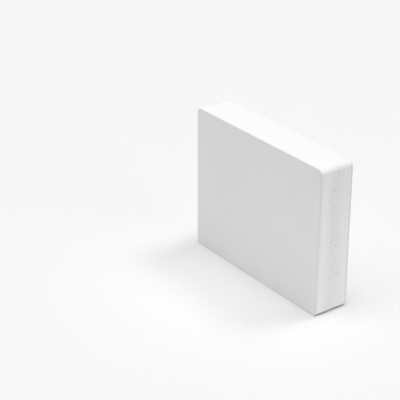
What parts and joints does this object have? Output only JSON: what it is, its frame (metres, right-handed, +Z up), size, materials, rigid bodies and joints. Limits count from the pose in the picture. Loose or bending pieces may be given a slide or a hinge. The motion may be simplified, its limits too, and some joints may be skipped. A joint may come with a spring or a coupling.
{
  "type": "pvc foam board",
  "caption": "Rectangular rigid foam board block with smooth faces, a sawn cellular rim and rounded corners, standing on its long edge.",
  "frame": {"origin": "on the ground, under the middle of the board's long bottom edge", "axes": "+X along the board's length, +Y through its thickness, +Z up along its height"},
  "size_m": [0.1, 0.02, 0.08],
  "materials": {
    "foam": "matte white rigid PVC foam: smooth extruded skin on the two faces, fine open cells on the sawn rim"
  },
  "bodies": {
    "root": {"board": "foam"}
  },
  "joints": []
}
